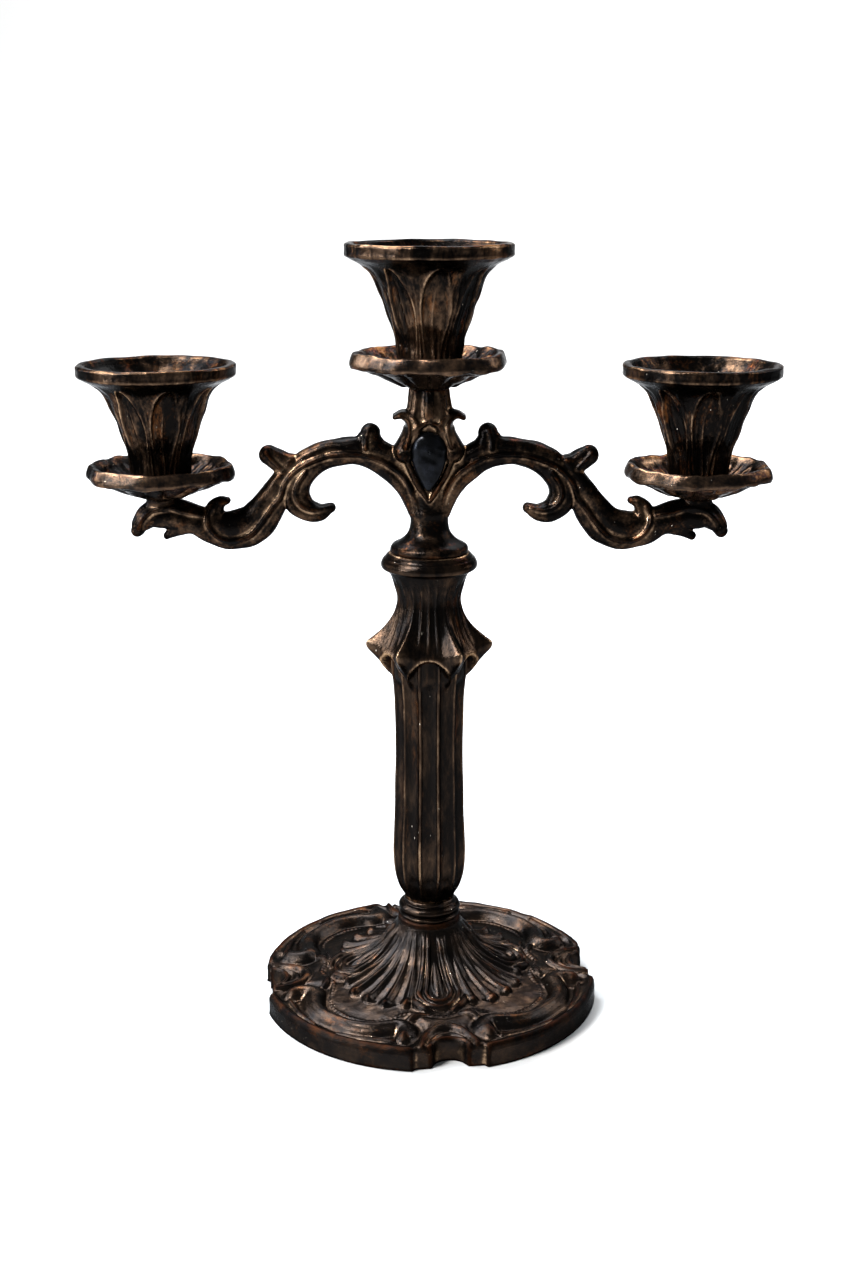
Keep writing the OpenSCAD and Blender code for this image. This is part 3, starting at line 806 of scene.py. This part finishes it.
def make_pan(side, turn, seed):
    """A drip pan; `turn` is the angle of one of its corners."""
    low, high = mm_box(f"{side}_drip_pan")
    centre = (low + high) / 2
    z0, height = low[2], high[2] - low[2]
    r = (high[0] - low[0]) / 2
    under = section([(5, 0.05), (8.6, 0.1), (10, 0.7), (14, 0.11 * height + 0.6),
                     (19, 0.28 * height), (24, 0.44 * height), (r - 5.2, 0.54 * height)], 40)
    lip = section([(r - 3.6, 0.55 * height), (r - 1.8, 0.56 * height), (r - 0.9, 0.63 * height),
                   (r - 0.9, 0.73 * height), (r - 1.5, 0.86 * height), (r - 2.2, 0.95 * height),
                   (r - 3.0, height - 0.5), (r - 4.0, height - 0.7), (r - 5.0, 0.92 * height)], 36)
    dish = section([(r - 6.2, 0.84 * height), (24.6, 0.68 * height), (20, 0.50 * height),
                    (16.8, 0.38 * height), (14.8, 4.5), (14.2, 3.9)], 32)
    floor = np.array([(13.6, 3.75), (8, 3.75), (3.0, 3.75), (2.8, 3.6), (2.8, 0.3), (3, 0.08)])
    rows = np.vstack([under, lip, dish, floor])
    around = 400
    theta = angles(around)
    radius = np.repeat(rows[:, :1], around, 1)
    z = np.repeat(rows[:, 1:], around, 1)
    n = len(under)
    m = n + len(lip)
    k = m + len(dish)
    angle = theta[None, :] - turn
    flutes = np.abs(np.cos(7 * angle)) ** 0.5
    climb = smoothstep(under[:, :1], 9.6, 13) * smoothstep(-under[:, :1], -(r - 4.5), -(r - 8))
    z[:n] += (1.7 - 2.3 * flutes) * climb
    ribs = np.abs(np.cos(15 * angle)) ** 3
    slope = smoothstep(dish[:, :1], 14, 17) * smoothstep(-dish[:, :1], -(r - 5.6), -(r - 8.5))
    z[m:k] += 0.55 * ribs * slope
    # lumpy, eight-sided lip that droops between its corners
    corner = np.abs(np.cos(4 * angle + 0.25 * np.sin(3 * angle + seed)))
    wander = np.sin(3 * angle + seed) + 0.6 * np.sin(5 * angle - 2 * seed)
    row = np.arange(len(rows))[:, None]
    near_lip = smoothstep(row, n - 14, n + 4) * smoothstep(-row, -m - 9, -m)
    radius -= near_lip * (1.15 * (1 - corner**1.5) + 0.3 * (1 - 0.6 * wander))
    z -= near_lip * (0.12 * corner + 0.08 * (wander + 1.6))
    lower = np.zeros(len(rows))
    lower[n - 3: n + 9] = 1
    z -= lower[:, None] * (0.7 * corner * (0.6 + 0.4 * wander) - 0.3)
    points = turned(radius, z + z0, theta[None, :])
    points[..., 0] += centre[0]
    push = 0.26 * lumps(points, 10, seed + 5) + 0.05 * lumps(points, 3.4, seed + 6)
    shown = smoothstep(rows[:, 0], 10, 13) * (rows[:, 1] > 0.5)
    points[..., 2] += (push - 0.1) * shown[:, None]
    make_piece(f"{side}_pan_casting", *ring_grid(points), f"{side}_pan", "iron_pan", iron_pan,
               [f"{side}_drip_pan"], edge=0.22, rounds=8)


# ---- branch

# bands of one half of the branch, as (x, z, half width)
ARCH = [(6, 228, 3.5), (9.5, 238, 5.2), (15.5, 246.6, 7), (24, 251.8, 6.7), (33, 253, 5.9),
        (43, 251.6, 6), (51.5, 247.4, 6.6), (56.8, 240.6, 6.6), (57.4, 233.6, 6.3),
        (53.4, 228, 5.3), (47.4, 226.4, 3.9), (42.4, 228.2, 2.2)]
S_ARM = [(58.6, 248, 3.6), (62.8, 240.4, 5.2), (68.4, 230.4, 7.2), (75.4, 221.4, 8.4),
         (84, 218.6, 8.4), (92.6, 219.6, 7.4), (100, 222.8, 6.4), (107.6, 225.2, 7), (115, 226, 6.8),
         (120.6, 225, 5.6), (124.4, 221.6, 4.2), (126, 218.6, 3.0)]
TONGUE = [(104, 221.5, 4.4), (109, 219.3, 3.5), (113.4, 216.2, 2.0)]
SHOULDER_LEAF = [(58.4, 245, 5.0), (64.4, 248.8, 4.9), (68.4, 251.2, 4.3)]
ARM_BUD = [(93.4, 221.5, 4.6), (92.4, 227.4, 4.2), (89.8, 230.6, 2.8), (87, 231.4, 1.6)]
ARCH_BUD = [(25.8, 254, 6.4), (25.5, 258.6, 5.4), (25.2, 260.6, 4.3)]
HUB_HORN = [(10, 253.5, 5.4), (7.6, 259, 4.6), (6.4, 264, 4.4), (8.2, 267.4, 3.2),
            (11.6, 268.7, 1.9), (14.6, 267.7, 1.1)]
DROP_FRAME = [(0, 266.5, 1.4), (5.4, 263.4, 1.8), (9.6, 257.6, 1.9), (9.4, 250.6, 1.8),
              (6.4, 243, 1.7), (2.6, 236.4, 1.5), (0.2, 232.5, 1.1)]
# height and radius up the stem
STEM = [(205, 17.4), (209.1, 17.0), (210.6, 17.0), (211.8, 16.6), (212.8, 15.4), (213.8, 13.3),
        (215.6, 11.0), (218, 9.2), (221, 8.4), (224, 8.1), (226.4, 8.5), (228, 8.2), (232, 8.0),
        (240, 7.8), (262, 7.6), (266, 8.5), (269, 9.2), (272, 9.0), (276, 8.4), (280, 8.0),
        (284, 8.0)]
# thin raised lines along the arm, each in a shallow valley
ARM_LINES = [
    [(4.6, 227), (6.4, 234), (9.0, 240), (13.8, 245.6), (21.6, 250.2), (31, 252.3), (41.4, 251.9),
     (50.4, 249), (57.2, 244.8), (61.2, 240), (63.2, 234.4), (67.2, 229.2), (71.6, 223),
     (76.4, 217.6), (82, 215.2), (87, 214.9), (91.2, 217), (94.2, 221), (95, 225.6), (93.4, 229.4)],
    [(52.5, 244.6), (55.8, 239.6), (56.8, 234.8), (54.6, 230.6), (50, 228.6), (44.4, 229.2)],
    [(97.5, 226.4), (104, 227.6), (111, 229.4), (118, 228.2), (122.6, 224.6), (125, 220)],
    [(63.6, 246.6), (67, 250), (69.4, 252.8)],
    [(26.8, 254.6), (26.6, 259), (25.4, 263)],
    [(9.6, 256.2), (8.4, 261.4), (9.2, 266), (12.4, 268)]]


def line_relief(x, z):
    """Factor on the arm's thickness: thin lines stand up out of shallow valleys."""
    nearest = np.full(x.shape, 99.0)
    for line in ARM_LINES:
        curve = spline([(a, b, 1) for a, b in line], 6)
        nearest = np.minimum(nearest, beside(curve, x, z)[0])
    return 1 - 0.21 * bump(nearest, 2.9) + 0.30 * bump(nearest, 1.25)


def band_field(curve, x, y, z, depth, relief):
    """Rough distance from a cast band, a full oval bar along the curve."""
    d, _, half, _ = beside(spline(curve), x, z)
    power = 2.5   # 2 would be an ellipse, more is squarer
    s = np.clip(d / half, 0, 3) ** power
    thick = depth * relief * (0.66 + 0.34 * smoothstep(half, 1.2, 5.5))
    around = (s[..., None] + (np.abs(y) / thick[..., None]) ** power) ** (1 / power)
    return (around - 1) * np.minimum(half, depth)[..., None]


def soft_min(a, b, width):
    """The smaller of two fields, with a fillet of about the given width where they meet."""
    h = np.clip(0.5 + 0.5 * (b - a) / width, 0, 1)
    return b * (1 - h) + a * h - width * h * (1 - h)


HUB_Z = 250
DROP_Z = 254   # centre of the round part of the well that holds a cabochon
DROP_R = 7.4
ROD_HOLE_TOP = 229
SCREW_DEPTH = 11


def make_branch():
    """The branch, from a field that is negative inside it; one quarter is made and mirrored."""
    low, high = mm_box("branch")
    seat_z = mm_box("left_drip_pan")[0][2] - 0.1   # height of a side seat's face
    step = 0.5   # size of the net's cells
    reach = math.ceil(high[0] / step) * step + 1
    xs = np.arange(0, reach + step, step)
    zs = np.arange(low[2] - 1, high[2] + 1.5, step)
    ys = np.arange(0, 19.5, step)
    x, z = np.meshgrid(xs, zs, indexing="ij")
    y = ys[None, None, :]
    relief = line_relief(x, z)
    field = band_field(ARCH, x, y, z, 6.6, relief)
    for curve, depth, blend in ((S_ARM, 6.6, 0.5), (TONGUE, 5.0, 1.0), (SHOULDER_LEAF, 5.8, 1.0),
                                (ARM_BUD, 5.6, 0.9), (ARCH_BUD, 5.6, 1.2), (HUB_HORN, 11.2, 0.6)):
        field = soft_min(field, band_field(curve, x, y, z, depth, relief), blend)
    around = np.sqrt(x[..., None] ** 2 + y**2)
    stem = around - profile(zs, STEM)[None, :, None]
    panels = np.cos(8 * np.arctan2(y, x[..., None] + 1e-6))
    stem = stem - 0.7 * np.sign(panels) * np.abs(panels) ** 0.6 * smoothstep(z, 264, 271)[..., None]
    field = soft_min(field, stem, 1.6)
    hub = np.sqrt((x[..., None] / 11.4) ** 2 + ((z[..., None] - HUB_Z) / 14.5) ** 2
                  + (y / (8.2 * relief[..., None])) ** 4) - 1
    field = soft_min(field, hub * 8, 1.5)
    plain = np.ones(x.shape)
    field = soft_min(field, band_field(DROP_FRAME, x, y, z, 14.6, plain), 0.5)
    up = z - DROP_Z
    drop = np.hypot(x, np.where(up > 0, up, up * 0.52)) - DROP_R
    well = np.maximum(drop[..., None], 8.3 - y)
    field = np.maximum(field, -well)
    seat = np.maximum(np.hypot(x[..., None] - SEAT_X, y) - 6.6, z[..., None] - (seat_z - 0.05))
    seat = np.maximum(seat, (seat_z - 5) - z[..., None])
    field = soft_min(field, seat, 1.0)
    full_x = np.concatenate([-xs[:0:-1], xs])
    full_y = np.concatenate([-ys[:0:-1], ys])
    field = np.concatenate([field[:0:-1], field], 0)
    field = np.concatenate([field[:, :, :0:-1], field], 2)
    gx, gz, gy = np.meshgrid(full_x, zs, full_y, indexing="ij")
    spot = np.stack([gx, gy, gz], -1)
    field += 0.16 * lumps(spot, 10, 21, 8) + 0.02 * lumps(spot, 3.4, 22, 8)
    field = np.maximum(field, (low[2] + 0.02) - gz)
    field = np.maximum(field, gz - (high[2] - 0.02))
    over_seat = np.maximum(np.hypot(np.abs(gx) - SEAT_X, gy) - 11, (seat_z - 0.03) - gz)
    field = np.maximum(field, -over_seat)
    rod_hole = np.maximum(np.hypot(gx, gy) - ROD_HOLE_R, gz - ROD_HOLE_TOP)
    field = np.maximum(field, -rod_hole)
    for at, top in ((0, high[2]), (-SEAT_X, seat_z), (SEAT_X, seat_z)):
        screw = np.maximum(np.hypot(gx - at, gy) - SCREW_HOLE_R, (top - SCREW_DEPTH) - gz)
        field = np.maximum(field, -screw)
    field = field.transpose(0, 2, 1)
    points, quads = surface_nets(field, np.array([full_x[0], full_y[0], zs[0]]), step)
    make_piece("branch_casting", points, quads, "branch", "iron_branch", iron_branch, ["branch"],
               edge=0.17, rounds=9)


def make_cabochon(name, node, sign):
    """A domed drop, round above and pointed below, on the hub's front or back."""
    low, high = mm_box(node)
    half = (high[0] - low[0]) / 2 - 0.3
    top = high[2] - half - 0.3
    drop = top - low[2] - 0.4
    rise = high[1] - low[1]
    face = low[1] if sign > 0 else high[1]
    around, rings = 96, 26
    t = angles(around)
    out_x = half * np.cos(t)
    out_z = np.where(np.sin(t) > 0, half * np.sin(t), drop * np.sin(t))
    out_x = np.where(np.sin(t) > 0, out_x, out_x * (1 - 0.42 * np.abs(np.sin(t)) ** 1.5))
    rho = np.sin(np.linspace(0.02, 1, rings) * math.pi / 2)
    x = rho[:, None] * out_x
    z = top + rho[:, None] * out_z
    y = 0.2 + (rise + 0.3) * np.sqrt(np.clip(1 - rho[:, None] ** 2.2, 0, 1)) * np.ones(around)
    front = np.stack([x, y, z], -1)
    back = np.stack([x[::-1], np.full_like(x, -0.6), z[::-1]], -1)
    points = np.concatenate([front, back])
    points[..., 1] += 0.16 * lumps(points, 5, 31) * (points[..., 1] > 0.3)
    points[..., 1] = face + sign * (points[..., 1] - 0.35)
    flat, quads = ring_grid(points)
    if sign < 0:
        quads = quads[:, ::-1]
    make_piece(name, flat, quads, "branch", "cabochon", enamel, [node], edge=0.3)


# ---- assembly

iron_foot = patina("iron_foot_patina", brown=0.42, rust=0.20, worn=0.95, seed=0.1,
                   contrast=0.55, black=2.1)
iron_column = patina("iron_column_patina", brown=0.62, rust=0.24, worn=0.75, seed=0.4,
                     streak=0.25, contrast=0.65, black=1.3)
iron_branch = patina("iron_branch_patina", brown=0.90, rust=0.30, worn=1.05, seed=0.7)
iron_cup = patina("iron_cup_patina", brown=0.92, rust=0.48, worn=0.75, seed=1.1, streak=0.35)
iron_pan = patina("iron_pan_patina", brown=0.9, rust=0.30, worn=1.0, seed=1.6,
                  contrast=0.7, black=2.5, warmth=1.9)
enamel = polished("cabochon_enamel")
steel = dull_steel("dull_zinc_steel")

make_foot()
make_collar()
make_column()
make_branch()
make_cabochon("front_drop", "front_cabochon", -1)
make_cabochon("back_drop", "back_cabochon", 1)
for number, side in enumerate(("left", "centre", "right")):
    make_cup(side, math.radians(-90 + 18 - 9 * number), 40 + 10 * number)
    make_pan(side, math.radians(-90 + 13 * number), 3 + 10 * number)
for name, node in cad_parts.items():
    if name.endswith(("rod", "washer", "nut", "screw")):
        node.data.materials.clear()
        node.data.materials.append(steel)


# ---- floor, light and camera


def add_light(name, location, target, size, power, colour):
    """A rectangular lamp that faces the target, with sizes in metres and power in watts."""
    light = bpy.data.lights.new(name, "AREA")
    light.shape = "RECTANGLE"
    light.size, light.size_y = size
    light.energy = power
    light.color = colour
    lamp = bpy.data.objects.new(name, light)
    bpy.context.scene.collection.objects.link(lamp)
    lamp.location = location
    direction = np.array(target) - np.array(location)
    tilt = math.atan2(math.hypot(direction[0], direction[1]), -direction[2])
    lamp.rotation_euler = (tilt, 0, math.atan2(-direction[0], direction[1]))


def make_floor():
    """A pale floor that curves up into a backdrop."""
    half, front, back, top, bend, steps = 6.0, -6.0, 4.0, 5.0, 1.2, 16
    path = [(front, 0.0)]
    for k in range(steps + 1):
        angle = math.pi / 2 * k / steps
        path.append((back - bend + bend * math.sin(angle), bend - bend * math.cos(angle)))
    path.append((back, top))
    vertices = [(x, y, z) for y, z in path for x in (-half, half)]
    faces = [(2 * k, 2 * k + 1, 2 * k + 3, 2 * k + 2) for k in range(len(path) - 1)]
    mesh = bpy.data.meshes.new("floor")
    mesh.from_pydata(vertices, [], faces)
    mesh.polygons.foreach_set("use_smooth", [True] * len(faces))
    floor = bpy.data.objects.new("floor", mesh)
    bpy.context.scene.collection.objects.link(floor)
    material, _, shader = new_material("pale_floor")
    shader.inputs["Base Color"].default_value = (0.31, 0.31, 0.31, 1)
    shader.inputs["Roughness"].default_value = 0.9
    shader.inputs["Specular IOR Level"].default_value = 0.1
    mesh.materials.append(material)


make_floor()
world = bpy.data.worlds.new("studio")
world.use_nodes = True
backdrop = world.node_tree.nodes["Background"]
backdrop.inputs["Color"].default_value = (0.93, 0.965, 1.0, 1)
backdrop.inputs["Strength"].default_value = 0.26
bpy.context.scene.world = world

add_light("key", (-1.0, -0.62, 1.40), (0, 0, 0.15), (0.45, 0.45), 88, (1.0, 0.985, 0.965))
add_light("left_sky", (-1.0, 0.25, 0.65), (0, 0, 0.2), (0.35, 0.8), 30, (0.78, 0.88, 1.0))
add_light("left_strip", (-0.95, -0.50, 0.50), (0, 0, 0.2), (0.10, 0.55), 14, (0.86, 0.93, 1.0))
add_light("right_edge", (1.0, 0.35, 0.7), (0, 0, 0.2), (0.2, 0.8), 11, (0.9, 0.95, 1.0))
add_light("overhead", (-0.6, 0.6, 1.5), (0, 0, 0.1), (0.9, 0.7), 68, (0.84, 0.92, 1.0))
add_light("back_wash", (0.3, 1.6, 1.9), (0, 2.6, 0.2), (2.5, 1.5), 320, (1, 1, 1))

DOWNWARD_TILT = 15.6   # degrees below level that the photo was taken at

camera_data = bpy.data.cameras.new("camera")
camera_data.lens = 47.8
camera_data.sensor_width = 36
camera = bpy.data.objects.new("camera", camera_data)
bpy.context.scene.collection.objects.link(camera)
camera.location = (0.0008, -0.7213, 0.3704)
camera.rotation_euler = (math.radians(90 - DOWNWARD_TILT), 0, 0)
bpy.context.scene.camera = camera
bpy.context.scene.view_settings.view_transform = "Standard"
